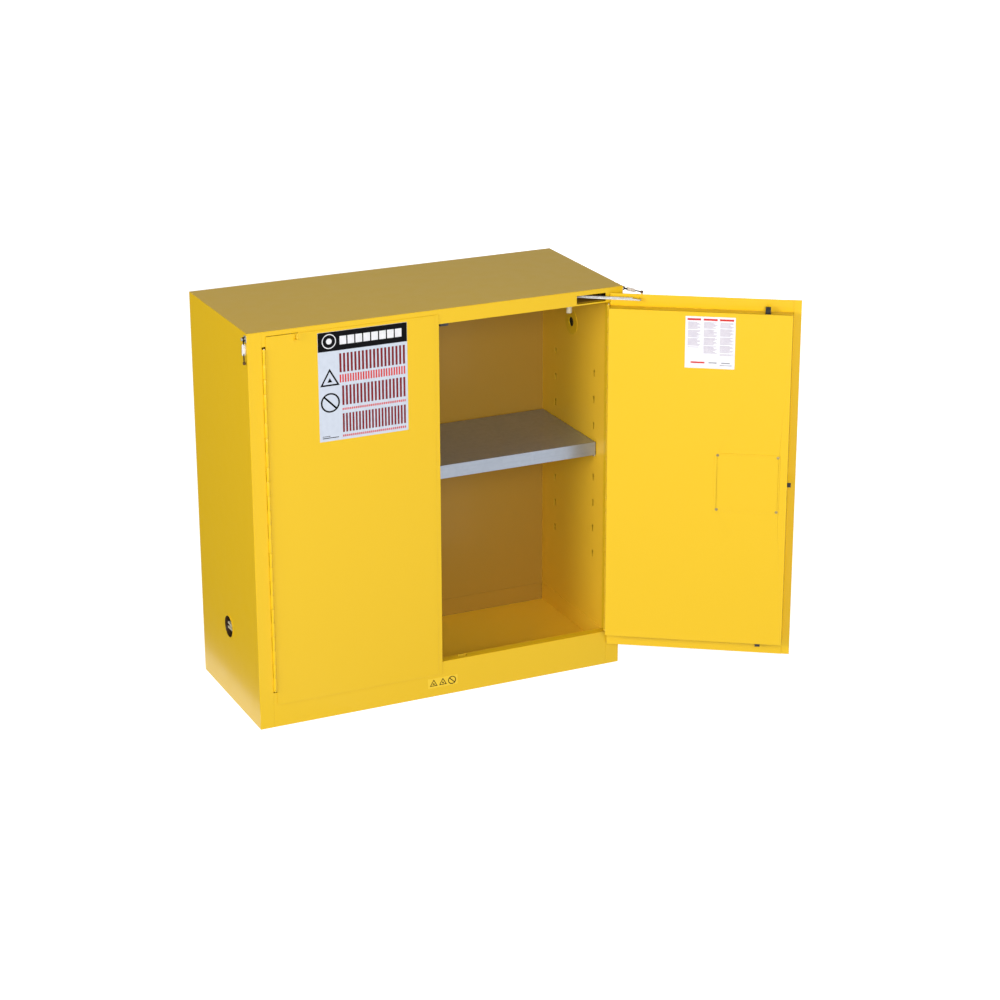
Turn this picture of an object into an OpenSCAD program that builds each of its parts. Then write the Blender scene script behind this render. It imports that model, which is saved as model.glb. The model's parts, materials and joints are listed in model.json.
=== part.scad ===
// Two-door self-closing safety cabinet for flammable liquids.
// Frame: X to the right, the doors face -Y, Z up from the floor, millimetres.
// The origin is the middle of the bottom sheet's underside.
// It is drawn at rest: the left door closed, the right door held open.

/* [Cabinet] */
// Outside width of the cabinet body
body_w = 1092; // [1000:1:1200]
// Outside depth of the cabinet body
body_d = 457; // [440:1:500]
// Outside height of the cabinet body
body_h = 1118; // [1100:1:1200]
// Distance from the outer face of a wall to its inner face, about
wall_t = 38; // [38:1:40]
// Thickness of the body's sheet steel
sheet = 1.2; // [1:0.1:1.5]
// Height of the rail above the doorway
rail_h = 41; // [41:1:44]
// Height of the sill below the doorway
sill_h = 101; // [101:1:110]
// Height of the leakproof floor above the ground
floor_z = 50; // [48:1:56]

/* [Doors] */
// Angle that the right door stands open
open_angle = 146; // [120:1:150]
// Distance from the cabinet's middle to each hinge axis
hinge_x = 501; // [495:1:505]
// Thickness of a door's inner pan
pan_t = 36; // [30:1:36]
// Gap between the frame and a closed door's skin
door_gap = 0.8; // [0.5:0.1:1]
// Height of the doors' lower edge
door_z0 = 65; // [60:1:80]
// Height of the doors' upper edge
door_z1 = 1104; // [1100:1:1105]
// How far the left door's free edge stays from the middle
left_edge = 6; // [6:1:10]
// How far the right door's free edge passes the middle
right_edge = 3; // [1:1:3]
// How far the astragal reaches past the middle, over the left door
astragal_reach = 25; // [20:1:30]

/* [Piano hinge] */
// Outer radius of a knuckle
knuckle_r = 4.6; // [4:0.1:5]
// Radius of the hinge pin
pin_r = 2; // [1.5:0.1:2.5]
// Number of knuckles on each hinge, shared by both leaves
knuckles = 24; // [12:2:36]
// Height of the hinge's lower end
hinge_z0 = 106; // [104:1:120]
// Height of the hinge's upper end
hinge_z1 = 1072; // [1050:1:1074]

/* [Shelf] */
// Height of the shelf's top face
shelf_z = 650; // [573:77:727]
// Height of the shelf's front lip
shelf_lip = 38; // [20:1:38]
// Distance between two rows of slots in the side walls
slot_pitch = 77; // [77:1:80]

/* [Vents] */
// Inner radius of a vent housing
vent_r = 30; // [25:1:32]
// Height of the lower vent, on the left side
vent_low_z = 217; // [200:1:260]
// Height of the upper vent, on the right side
vent_high_z = 960; // [900:1:980]

/* [Closer] */
// Length of a closer arm, between its pivots
arm_len = 180; // [175:1:185]
// Distance from the hinge axis to the arm's pivot, along the door
arm_s = 84; // [84:1:86]
// Travel of a closer rod
rod_travel = 145; // [140:1:150]

/* [Latch] */
// Distance from the right hinge axis to the handle, along the door
handle_s = 391; // [380:1:400]
// Height of the handle's middle
handle_z = 586; // [560:1:620]
// Distance from the right hinge axis to the bolt rods, along the door
rod_s = 437; // [430:1:440]
// Travel of the three bolts
bolt_travel = 14; // [10:1:16]

/* [Hidden] */
$fn = 48;

paint = "gold";
inner_paint = "goldenrod";
zinc = "silver";
dark = [0.12, 0.12, 0.13];

// Cabinet planes
xo = body_w / 2;
yf = -body_d / 2;
yb = body_d / 2;
top_z = body_h - sheet;
open_z = body_h - rail_h;
knuckle_gap = 0.3;
jamb_x = hinge_x + knuckle_r + knuckle_gap;
liner_x = jamb_x + sheet;
jamb_d = 26;
liner_yf = yf + jamb_d - 3.5;
liner_yb = yb - wall_t;
ceil_z = open_z + sheet;
lip_y = yf + 26.5;

// Door planes, closed
hinge_y = yf - 2.5;
skin_back = yf - door_gap;
skin_front = skin_back - sheet;
pan_back = skin_back + pan_t;
pan_z0 = sill_h + 5;
pan_z1 = open_z - 7;
door_hinge_x = hinge_x - knuckle_r - knuckle_gap;
leaf_t = 1.5;
leaf_y0 = hinge_y + 5.2;
leaf_y1 = hinge_y + 26;

// Side wall slots
slot_z0 = 310;
slot_rows = 8;
slot_front_y = -136;
slot_rear_y = 106;
shelf_drop = 32;
clip_row = round((shelf_z - shelf_drop - slot_z0) / slot_pitch);

// Vents
vent_wall = 4;
inner_hole_r = 14;
vent_low_y = 4;
vent_high_y = 7;

// Feet
foot_x = 495;
foot_y = 180;
stem_r = 5;
pad_r = 20;

// Closer
arm_off = 12;
slot_x0 = 405;
slot_x1 = 493;
slot_z_low = 1081;
slot_z_high = 1104.5;
arm_z = 1090;
arm_t = 3;
rod_z = 1087;
pivot_x = hinge_x - arm_s;
pivot_y = hinge_y + arm_off;
rod_y_shut = pivot_y + arm_len;
rod_len = 235;
tube_y0 = -18;
tube_y1 = 225;
arm_turn = 54.7;

// Latch
handle_x = hinge_x - handle_s;
lock_z = handle_z - 79;
rod_x = hinge_x - rod_s;
rod_y = skin_back + 18;
bolt_y = yf + 23.5;
cam_pin = 26;
cam_rest = asin(bolt_travel / 2 / cam_pin);
bolt_z = 583;

// Link
link_len = 69;
link_z = 1108;
link_y = -214;
link_angle = -64;

module mirrored_left() mirror([1, 0, 0]) children();

// Puts a piece drawn on the closed right door where the open door has it.
module on_open_door()
    translate([hinge_x, hinge_y, 0]) rotate([0, 0, open_angle])
        translate([-hinge_x, -hinge_y, 0]) children();

// A box from its two opposite corners
module block(low, high)
    translate(low) cube([high[0] - low[0], high[1] - low[1], high[2] - low[2]]);

// A round bar along X or Y, from its start point
module bar_x(start, r, length) translate(start) rotate([0, 90, 0]) cylinder(r = r, h = length);
module bar_y(start, r, length) translate(start) rotate([-90, 0, 0]) cylinder(r = r, h = length);

// ---- Cabinet body ----

module side_shell(vent_y, vent_z) difference() {
    union() {
        block([xo - sheet, yf, 0], [xo, yb, top_z]);
        block([jamb_x, yf, 0], [xo, yf + sheet, top_z]);
        block([jamb_x, yf, sill_h], [liner_x, yf + jamb_d, open_z]);
    }
    bar_x([xo - 5, vent_y, vent_z], vent_r + vent_wall + 0.05, 10);
}
module side_panel_left() color(paint) mirrored_left() side_shell(vent_low_y, vent_low_z);
module side_panel_right() color(paint) difference() {
    side_shell(vent_high_y, vent_high_z);
    bar_x([xo - 5, ground_y, ground_z], 3.2, 10);
}

module back_panel() color(paint) block([-xo + sheet, yb - sheet, sheet], [xo - sheet, yb, top_z]);

module top_panel() color(paint) {
    block([-xo, yf, top_z], [xo, yb, body_h]);
    block([-xo + 2 * sheet, yb - 2 * sheet, top_z - 18], [xo - 2 * sheet, yb - sheet, top_z]);
}

module bottom_panel() color(paint) difference() {
    block([-xo + sheet, yf + sheet, 0], [xo - sheet, yb, sheet]);
    for (x = [-foot_x, foot_x], y = [-foot_y, foot_y])
        translate([x, y, -1]) cylinder(r = pad_r + 2, h = 4);
}

module arm_window() block([slot_x0, yf - 1, slot_z_low], [slot_x1, yf + 3, slot_z_high]);

// A strike hole in a lip, for a bolt rod
module strike_hole(z)
    block([rod_x - 13, bolt_y - 12, z - 3], [rod_x + 13, bolt_y + 1.5, z + 3]);

module header_rail() color(paint) difference() {
    union() {
        block([-jamb_x, yf, open_z], [jamb_x, yf + sheet, top_z]);
        block([-jamb_x, yf, open_z], [jamb_x, lip_y + 4, open_z + sheet]);
        block([-jamb_x, yf, top_z - sheet], [jamb_x, yf + 18, top_z]);
    }
    arm_window();
    mirrored_left() arm_window();
    strike_hole(open_z);
}

module sill_panel() color(paint) difference() {
    union() {
        block([-jamb_x, yf, 0], [jamb_x, yf + sheet, sill_h]);
        block([-jamb_x, yf, sill_h - sheet], [jamb_x, lip_y, sill_h]);
    }
    strike_hole(sill_h);
}

module keyhole(y, z) {
    bar_x([liner_x - 1, y, z + 4], 4.5, 5);
    block([liner_x - 1, y - 2.75, z - 12], [liner_x + 4, y + 2.75, z + 4]);
}

module liner_side(vent_y, vent_z) difference() {
    block([liner_x, liner_yf, floor_z - sheet], [liner_x + sheet, liner_yb, ceil_z]);
    for (i = [0 : slot_rows - 1], y = [slot_front_y, slot_rear_y])
        keyhole(y, slot_z0 + i * slot_pitch);
    bar_x([liner_x - 2, vent_y, vent_z], vent_r + vent_wall + 0.05, 5);
}
module liner_left() color(inner_paint) mirrored_left() liner_side(vent_low_y, vent_low_z);
module liner_right() color(inner_paint) liner_side(vent_high_y, vent_high_z);

module liner_back() color(inner_paint)
    block([-liner_x - sheet, liner_yb, floor_z - sheet], [liner_x + sheet, liner_yb + sheet, ceil_z]);

module liner_ceiling() color(inner_paint) difference() {
    block([-liner_x - sheet, liner_yf, ceil_z], [liner_x + sheet, liner_yb + sheet, ceil_z + sheet]);
    block([rod_x - 13, liner_yf - 1, ceil_z - 1], [rod_x + 13, bolt_y + 4, ceil_z + 2]);
}

module sump_pan() color(inner_paint) difference() {
    block([-liner_x, lip_y, floor_z - sheet], [liner_x, liner_yb, sill_h]);
    block([-liner_x + sheet, lip_y + sheet, floor_z], [liner_x - sheet, liner_yb - sheet, sill_h + 1]);
}

// Upright strips that hold the inner and outer walls apart
module wall_spacers() color(paint) {
    for (s = [-1, 1], y = [-150, 150]) {
        x = s > 0 ? liner_x + sheet : -xo + sheet;
        block([x, y, 120], [x + xo - liner_x - 2 * sheet, y + 2, 1050]);
    }
    for (x = [-260, 0, 260]) block([x - 1, liner_yb + sheet, 120], [x + 1, yb - 2 * sheet, 1050]);
    for (y = [-110, 110]) block([-460, y - 1, sheet], [460, y + 1, floor_z - sheet]);
}

module foot_bracket() {
    difference() {
        union() {
            block([-32, -26, 10], [32, 26, 12]);
            for (s = [-1, 1]) block([s * 31 - 1, -26, sheet], [s * 31 + 1, 26, 10]);
            translate([0, 0, 12]) cylinder(r = 10, h = 10);
        }
        translate([0, 0, 5]) cylinder(r = stem_r + 0.05, h = 25);
    }
}
module foot_brackets() color(zinc)
    for (x = [-foot_x, foot_x], y = [-foot_y, foot_y]) translate([x, y, 0]) foot_bracket();

module leveling_foot(x, y) color(zinc) translate([x, y, 0]) {
    cylinder(r = pad_r, h = 5);
    translate([0, 0, 5]) cylinder(r = 7, h = 4);
    translate([0, 0, 9]) cylinder(r = stem_r, h = 36);
}
module leveling_foot_1() leveling_foot(-foot_x, -foot_y);
module leveling_foot_2() leveling_foot(foot_x, -foot_y);
module leveling_foot_3() leveling_foot(-foot_x, foot_y);
module leveling_foot_4() leveling_foot(foot_x, foot_y);

// ---- Shelf ----

shelf_x = 504.5;
shelf_yf = -155;
shelf_yb = 182;
side_lip = 14;
module shelf() color([0.72, 0.75, 0.78]) {
    block([-shelf_x, shelf_yf, shelf_z - sheet], [shelf_x, shelf_yb, shelf_z]);
    block([-shelf_x, shelf_yf, shelf_z - shelf_lip], [shelf_x, shelf_yf + sheet, shelf_z - sheet]);
    block([-shelf_x, shelf_yf, shelf_z - shelf_lip], [shelf_x, shelf_yf + 12, shelf_z - shelf_lip + sheet]);
    block([-shelf_x, shelf_yb - sheet, shelf_z - shelf_lip], [shelf_x, shelf_yb, shelf_z - sheet]);
    for (s = [-1, 1])
        block([s * shelf_x - (s > 0 ? sheet : 0), shelf_yf + sheet, shelf_z - side_lip],
            [s * shelf_x + (s > 0 ? 0 : sheet), shelf_yb - sheet, shelf_z - sheet]);
}

clip_z = slot_z0 + clip_row * slot_pitch;
module shelf_clip(y) {
    ledge_z = shelf_z - side_lip;
    block([liner_x - 1.5, y - 10, clip_z - 14], [liner_x, y + 10, ledge_z]);
    block([liner_x - 18, y - 10, ledge_z - 1.5], [liner_x, y + 10, ledge_z]);
    block([liner_x, y - 2.25, clip_z - 10], [liner_x + sheet + 0.3, y + 2.25, clip_z + 2]);
    block([liner_x + sheet + 0.3, y - 2.25, clip_z - 18], [liner_x + sheet + 1.8, y + 2.25, clip_z + 2]);
}
module shelf_clips() color(zinc) for (y = [slot_front_y, slot_rear_y]) {
    shelf_clip(y);
    mirrored_left() shelf_clip(y);
}

// ---- Vents ----

module vent_housing(y, z) difference() {
    union() {
        bar_x([liner_x - 0.6, y, z], vent_r + vent_wall, xo - liner_x + 0.6);
        bar_x([liner_x - 1.2, y, z], vent_r + vent_wall + 3, 1.2);
        bar_x([xo, y, z], vent_r + 6.5, 1.5);
    }
    bar_x([liner_x - 5, y, z], inner_hole_r, 10);
    bar_x([liner_x + 1.2, y, z], vent_r, xo - liner_x + 5);
}
module vent_housings() color(paint) {
    mirrored_left() vent_housing(vent_low_y, vent_low_z);
    vent_housing(vent_high_y, vent_high_z);
}

screen_pitch = 8;
screen_rings = 3;
module vent_screen(y, z) difference() {
    bar_x([liner_x + 3, y, z], vent_r - 0.05, 1);
    bar_x([liner_x + 2, y, z], 2.6, 3);
    for (ring = [1 : screen_rings], i = [0 : 6 * ring - 1]) {
        a = 60 * i / ring;
        bar_x([liner_x + 2, y + ring * screen_pitch * cos(a), z + ring * screen_pitch * sin(a)], 2.6, 3);
    }
}
module vent_screens() color(zinc) {
    mirrored_left() vent_screen(vent_low_y, vent_low_z);
    vent_screen(vent_high_y, vent_high_z);
}

// A threaded plug with a raised double bar to turn it by
module vent_bung(y, z) {
    bar_x([xo - 23, y, z], vent_r - 0.05, 11);
    bar_x([xo - 12, y, z], 11, 3);
    for (s = [-1, 1])
        block([xo - 9, y - 16, z + s * 6.5 - 2.5], [xo - 2, y + 16, z + s * 6.5 + 2.5]);
    block([xo - 9, y - 5, z - 4], [xo - 5, y + 5, z + 4]);
}
module vent_bung_left() color(zinc) mirrored_left() vent_bung(vent_low_y, vent_low_z);
module vent_bung_right() color(zinc) vent_bung(vent_high_y, vent_high_z);

ground_y = 175;
ground_z = 62;
module ground_stud() color(zinc) {
    bar_x([xo - sheet - 8, ground_y, ground_z], 3, 8 + sheet + 16);
    bar_x([xo, ground_y, ground_z], 8, 1.6);
    translate([xo + 1.6, ground_y, ground_z]) rotate([0, 90, 0]) cylinder(r = 5.8, h = 5, $fn = 6);
    translate([xo - sheet - 6.2, ground_y, ground_z]) rotate([0, 90, 0]) cylinder(r = 5.8, h = 5, $fn = 6);
    bar_x([xo - sheet - 1.2, ground_y, ground_z], 8, 1.2);
}

// ---- Hinges ----

knuckle_len = (hinge_z1 - hinge_z0) / knuckles;
knuckle_space = 0.5;
bore_r = pin_r + 0.05;

// One leaf's knuckles: every second one, with the strip that joins them to the leaf
module knuckle_row(first, strip_x) {
    for (i = [first : 2 : knuckles - 1]) {
        z = hinge_z0 + i * knuckle_len + knuckle_space / 2;
        translate([0, 0, z]) difference() {
            union() {
                translate([hinge_x, hinge_y, 0]) cylinder(r = knuckle_r, h = knuckle_len - knuckle_space);
                block([strip_x, hinge_y, 0], [strip_x + leaf_t, leaf_y0, knuckle_len - knuckle_space]);
            }
            translate([hinge_x, hinge_y, -1]) cylinder(r = bore_r, h = knuckle_len + 2);
        }
    }
}
module hinge_leaf_body() {
    knuckle_row(0, jamb_x - leaf_t);
    block([jamb_x - leaf_t, leaf_y0, hinge_z0], [jamb_x, leaf_y1, hinge_z1]);
}
module hinge_leaf_door() {
    knuckle_row(1, door_hinge_x);
    block([door_hinge_x, leaf_y0, hinge_z0], [door_hinge_x + leaf_t, leaf_y1, hinge_z1]);
}
module hinge_leaves_body() color(paint) {
    hinge_leaf_body();
    mirrored_left() hinge_leaf_body();
}
module hinge_pins() color(zinc) for (s = [-1, 1])
    translate([s * hinge_x, hinge_y, hinge_z0 - 1]) cylinder(r = pin_r, h = hinge_z1 - hinge_z0 + 2);
module hinge_leaf_door_left() color(paint) mirrored_left() hinge_leaf_door();
module hinge_leaf_door_right() color(paint) on_open_door() hinge_leaf_door();

// ---- Doors ----

module door_skin(free_x) block([free_x, skin_front, door_z0], [door_hinge_x - 0.2, skin_back, door_z1]);

module door_pan(free_x) difference() {
    block([free_x, skin_back, pan_z0], [door_hinge_x, pan_back, pan_z1]);
    block([free_x + sheet, skin_back - 1, pan_z0 + sheet],
        [door_hinge_x - sheet, pan_back - sheet, pan_z1 - sheet]);
    block([free_x + sheet, skin_back - 1, pan_z0 - 1],
        [door_hinge_x - sheet, pan_back - 12, pan_z0 + 2]);
}

edge_step = 0.6;
edge_step_w = 12;
module door_skin_left() color(paint) mirrored_left() difference() {
    door_skin(left_edge);
    block([left_edge - 1, skin_front - 1, door_z0 - 1],
        [left_edge + edge_step_w, skin_front + edge_step, door_z1 + 1]);
}
module door_pan_left() color(paint) difference() {
    mirrored_left() door_pan(left_edge + 2);
    block([-left_edge - 6, bolt_y - 6, bolt_z - 9], [0, bolt_y + 7, bolt_z + 9]);
}

cover_s0 = 303;
cover_s1 = 484;
cover_z0 = 499;
cover_z1 = 670;
cover_screw_s = [cover_s0 + 9, cover_s1 - 6];
cover_screw_z = [cover_z0 + 6, cover_z1 - 6];
module door_skin_right() color(paint) on_open_door() difference() {
    door_skin(-right_edge);
    bar_y([handle_x, skin_front - 1, lock_z], 7.05, 3);
}
module door_pan_right() color(paint) on_open_door() difference() {
    door_pan(-right_edge - 1);
    for (z = [pan_z0, pan_z1])
        block([rod_x - 8, rod_y - 4, z - 3], [rod_x + 8, bolt_y + 5, z + 3]);
    block([-right_edge - 3, bolt_y - 6, bolt_z - 9], [4, bolt_y + 7, bolt_z + 9]);
    block([hinge_x - cover_s1 + 16, pan_back - 3, cover_z0 + 18],
        [hinge_x - cover_s0 - 16, pan_back + 1, cover_z1 - 18]);
    for (s = cover_screw_s, z = cover_screw_z)
        bar_y([hinge_x - s, pan_back - 3, z], 2, 5);
}
module astragal() color(paint) on_open_door() {
    block([-right_edge, skin_front - 1.5, door_z0], [16, skin_front, door_z1]);
    block([-astragal_reach, skin_front - 1.5, door_z0], [-right_edge, skin_front - 0.35, door_z1]);
}

module latch_cover() color(paint) on_open_door() difference() {
    block([hinge_x - cover_s1, pan_back, cover_z0], [hinge_x - cover_s0, pan_back + sheet, cover_z1]);
    for (s = cover_screw_s, z = cover_screw_z)
        bar_y([hinge_x - s, pan_back - 1, z], 2.2, 5);
}
module cover_screws() color(zinc) on_open_door()
    for (s = cover_screw_s, z = cover_screw_z) {
        bar_y([hinge_x - s, pan_back - 6, z], 1.9, 6 + sheet);
        bar_y([hinge_x - s, pan_back + sheet, z], 4.2, 1.8);
    }

// ---- Latch ----

grip_y = skin_front - 42;
module pull_handle() color(dark) on_open_door() difference() {
    union() {
        block([handle_x - 26, skin_front - 2.5, handle_z - 92], [handle_x + 26, skin_front, handle_z + 86]);
        for (z = [handle_z - 66, handle_z + 54])
            block([handle_x - 9, grip_y, z], [handle_x + 9, skin_front - 2.5, z + 12]);
        block([handle_x - 9, grip_y, handle_z - 54], [handle_x + 9, grip_y + 11, handle_z + 54]);
        bar_y([handle_x, skin_front - 8, lock_z], 10.5, 5.5);
    }
    bar_y([handle_x, skin_front - 9, lock_z], 7.05, 12);
}

paddle_y = skin_front - 11;
paddle_z = handle_z + 44;
module handle_paddle() color(dark) on_open_door() {
    block([handle_x - 15, paddle_y - 3, handle_z - 42], [handle_x + 15, paddle_y, paddle_z]);
    bar_x([handle_x - 15, paddle_y - 1.5, paddle_z], 3, 30);
}

module key_plug() color(zinc) on_open_door() difference() {
    bar_y([handle_x, skin_front - 8.6, lock_z], 7, 11);
    block([handle_x - 1, skin_front - 10, lock_z - 4], [handle_x + 1, skin_front - 6, lock_z + 4]);
}

cam_y = rod_y + 3.4;
module latch_cam() color(zinc) on_open_door() {
    bar_y([handle_x, cam_y, handle_z], 33, 3);
    for (s = [-1, 1])
        bar_y([handle_x - s * cam_pin * cos(cam_rest), rod_y - 3.2,
            handle_z + s * cam_pin * sin(cam_rest)], 3, 6.8);
    bar_y([handle_x - cam_pin * sin(cam_rest), cam_y + 3, handle_z - cam_pin * cos(cam_rest)], 3, 6);
}

rod_w = 12;
// A flat rod from the bolt's tip to the cam's pin, with one jog; it rises when up is 1
module bolt_rod(up, tip_z, pin_x) {
    pin_z = handle_z + up * cam_pin * sin(cam_rest);
    jog_z = handle_z + up * 48;
    y0 = rod_y - 3;
    difference() {
        union() {
            block([rod_x - rod_w / 2, y0, min(jog_z, tip_z - up * 22)],
                [rod_x + rod_w / 2, y0 + 3, max(jog_z, tip_z - up * 22)]);
            block([min(rod_x, pin_x) - rod_w / 2, y0, min(jog_z, jog_z + up * rod_w)],
                [max(rod_x, pin_x) + rod_w / 2, y0 + 3, max(jog_z, jog_z + up * rod_w)]);
            block([pin_x - rod_w / 2 - 1, y0, min(pin_z - up * 9, jog_z)],
                [pin_x + rod_w / 2 + 1, y0 + 3, max(pin_z - up * 9, jog_z)]);
            translate([rod_x - 7, 0, 0]) rotate([90, 0, 90]) linear_extrude(14)
                polygon([[y0, tip_z - up * 24], [bolt_y + 1, tip_z - up * 24],
                    [bolt_y + 1, tip_z - up * 8], [bolt_y - 3, tip_z], [y0, tip_z]]);
        }
        block([pin_x - 4.6, y0 - 1, pin_z - 3.6], [pin_x + 4.6, y0 + 4, pin_z + 3.6]);
    }
}
module top_bolt_rod() color(dark) on_open_door()
    bolt_rod(1, open_z + 10, handle_x - cam_pin * cos(cam_rest) + 0.5);
module bottom_bolt_rod() color(dark) on_open_door()
    bolt_rod(-1, sill_h - 9, handle_x + cam_pin * cos(cam_rest) - 0.5);

module centre_bolt() color(dark) on_open_door() {
    pin_x = handle_x - cam_pin * sin(cam_rest);
    pin_z = handle_z - cam_pin * cos(cam_rest);
    y0 = cam_y + 3.6;
    difference() {
        union() {
            block([-14, y0, bolt_z - 6], [pin_x + 8, y0 + 4, bolt_z + 6]);
            block([pin_x - 8, y0, pin_z - 9], [pin_x + 8, y0 + 4, bolt_z]);
        }
        block([pin_x - 3.6, y0 - 1, pin_z - 4.6], [pin_x + 3.6, y0 + 5, pin_z + 4.6]);
    }
}

// ---- Self-closing linkage ----

module closer_bracket() {
    block([pivot_x - 7, skin_back, slot_z_low + 2], [pivot_x + 7, skin_back + 1.5, slot_z_high - 2]);
    block([pivot_x - 7, skin_back, arm_z - 3], [pivot_x + 7, pivot_y + 6, arm_z - 0.4]);
    translate([pivot_x, pivot_y, arm_z - 0.4]) cylinder(r = 3, h = arm_t + 2.4);
    translate([pivot_x, pivot_y, arm_z + arm_t + 0.4]) cylinder(r = 5, h = 1.6);
}
module closer_bracket_left() color(zinc) mirrored_left() closer_bracket();
module closer_bracket_right() color(zinc) on_open_door() closer_bracket();

// The arm, drawn from its door pivot straight back
module closer_arm() difference() {
    union() {
        block([-6, 0, 0], [6, arm_len, arm_t]);
        for (y = [0, arm_len]) translate([0, y, 0]) cylinder(r = 7, h = arm_t);
    }
    for (y = [0, arm_len]) translate([0, y, -1]) cylinder(r = 3.05, h = arm_t + 2);
}
module closer_arm_left() color(zinc) mirrored_left()
    translate([pivot_x, pivot_y, arm_z]) closer_arm();
module closer_arm_right() color(zinc)
    translate([hinge_x, hinge_y, 0]) rotate([0, 0, open_angle])
        translate([-arm_s, arm_off, arm_z]) rotate([0, 0, arm_turn - open_angle]) closer_arm();

module closer_rod(y) {
    bar_y([pivot_x, y + 6, rod_z], 2.5, rod_len - 6);
    bar_y([pivot_x, y + rod_len - 8, rod_z], 6.4, 8);
    block([pivot_x - 7, y - 7, rod_z - 3.5], [pivot_x + 7, y + 7, rod_z + 2]);
    translate([pivot_x, y, rod_z + 2]) cylinder(r = 3, h = 0.7);
}
module closer_rod_left() color(zinc) mirrored_left() closer_rod(rod_y_shut);
module closer_rod_right() color(zinc) closer_rod(rod_y_shut - rod_travel);

module closer_tube() {
    difference() {
        bar_y([pivot_x, tube_y0, rod_z], 7.5, tube_y1 - tube_y0);
        bar_y([pivot_x, tube_y0 - 1, rod_z], 2.55, 20);
        bar_y([pivot_x, tube_y0 + 3, rod_z], 6.45, tube_y1 - tube_y0 - 6);
    }
    for (y = [tube_y0 + 10, tube_y1 - 25])
        for (s = [-1, 1])
            block([pivot_x + s * 12 - 5, y - 5, ceil_z + sheet], [pivot_x + s * 12 + 5, y + 5, rod_z]);
}
module closer_tubes() color(zinc) {
    closer_tube();
    mirrored_left() closer_tube();
}

// ---- Hold-open links ----

stud_r = 1.8;
eye_r = 6.5;
eye_bore_r = 3.4;
link_out = 5.4;

// A plate on the cabinet's side, with a headed stud that a link's eye hangs on loosely
module link_anchor(y, z) {
    block([xo, y - 8, z - 9], [xo + 1.2, y + 8, z + 9]);
    bar_x([xo, y, z], stud_r, link_out + 4.6);
    bar_x([xo + link_out + 4, y, z], 4.5, 1.6);
}
module link_anchors() color(zinc) {
    link_anchor(link_y - 2, link_z);
    mirrored_left() link_anchor(link_y - 4, link_z - 6);
}

// A link drawn from its pivot along +X: dark eye, bright fusible plate, hook with a knob
module fusible_link() difference() {
    union() {
        bar_y([0, -1, 0], eye_r, 2);
        block([eye_bore_r + 1, -1, -3], [16, 1, 3]);
        block([14, -1.6, -5.5], [42, 1.6, 5.5]);
        block([42, -1, -2.5], [link_len - 4, 1, 2.5]);
        translate([link_len - 4, 0, -3]) cylinder(r = 4.5, h = 6);
    }
    bar_y([0, -2, 0], eye_bore_r, 4);
}
module fusible_link_left() color(zinc) translate([-xo - link_out, link_y - 4, link_z - 6])
    rotate([0, 90, 0]) rotate([90, 0, 0]) fusible_link();
module fusible_link_right() color(zinc) translate([xo + link_out, link_y - 2, link_z])
    rotate([0, 0, link_angle]) fusible_link();

keeper_s = 85;
post_s = 90;
post_out = 8.5;
module link_keeper() {
    block([hinge_x - keeper_s, skin_front - 1.2, door_z1 - 28], [door_hinge_x - 1, skin_front, door_z1]);
    translate([hinge_x - post_s, skin_front - post_out, door_z1 - 14]) cylinder(r = 2.2, h = 14.6);
    block([hinge_x - post_s - 3, skin_front - post_out - 3, door_z1 - 16],
        [hinge_x - post_s + 8, skin_front - 1.2, door_z1 - 14]);
}
module link_keeper_left() color(paint) mirrored_left() link_keeper();
module link_keeper_right() color(paint) on_open_door() link_keeper();

// ---- Closing sequence bar ----

coord_x = 452;
coord_y = -176;
coord_z = 1069;
module coordinator_bar() color(dark) difference() {
    union() {
        block([30, coord_y - 3, coord_z], [coord_x, coord_y + 3, coord_z + 3]);
        block([18, coord_y - 8, coord_z - 13], [42, coord_y + 4, coord_z]);
        translate([coord_x, coord_y, coord_z]) cylinder(r = 7, h = 3);
        translate([408, coord_y, coord_z - 24]) cylinder(r = 8, h = 18);
        translate([408, coord_y, coord_z - 6]) cylinder(r = 3, h = 6);
    }
    translate([coord_x, coord_y, coord_z - 1]) cylinder(r = 3.05, h = 5);
}
module coordinator_bracket() color(zinc) {
    block([coord_x - 12, coord_y - 10, ceil_z - 1.6], [coord_x + 12, coord_y + 10, ceil_z]);
    translate([coord_x, coord_y, coord_z - 2]) cylinder(r = 3, h = ceil_z - 1.6 - coord_z + 2);
    translate([coord_x, coord_y, coord_z - 2]) cylinder(r = 5.5, h = 1.6);
}

// ---- Labels ----

label_t = 0.3;
module front_label() color("white")
    block([-352.7, skin_front - label_t, 796], [-98.7, skin_front, 1096]);
module instruction_label() color("white") on_open_door()
    block([hinge_x - 351, pan_back, 912], [hinge_x - 215, pan_back + label_t, 1058]);
module base_label() color("white") block([-50, yf - label_t, 26], [40, yf, 55]);

// ---- Nodes ----

side_panel_left();
side_panel_right();
back_panel();
top_panel();
bottom_panel();
header_rail();
sill_panel();
liner_left();
liner_right();
liner_back();
liner_ceiling();
sump_pan();
wall_spacers();
foot_brackets();
shelf();
shelf_clips();
vent_housings();
vent_screens();
ground_stud();
hinge_leaves_body();
hinge_pins();
closer_tubes();
link_anchors();
base_label();
leveling_foot_1();
leveling_foot_2();
leveling_foot_3();
leveling_foot_4();
vent_bung_left();
vent_bung_right();
door_skin_left();
door_pan_left();
hinge_leaf_door_left();
closer_bracket_left();
link_keeper_left();
front_label();
door_skin_right();
door_pan_right();
hinge_leaf_door_right();
closer_bracket_right();
link_keeper_right();
astragal();
latch_cover();
cover_screws();
pull_handle();
instruction_label();
closer_arm_left();
closer_arm_right();
closer_rod_left();
closer_rod_right();
fusible_link_left();
fusible_link_right();
handle_paddle();
latch_cam();
top_bolt_rod();
bottom_bolt_rod();
centre_bolt();
key_plug();
coordinator_bar();
coordinator_bracket();
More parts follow.
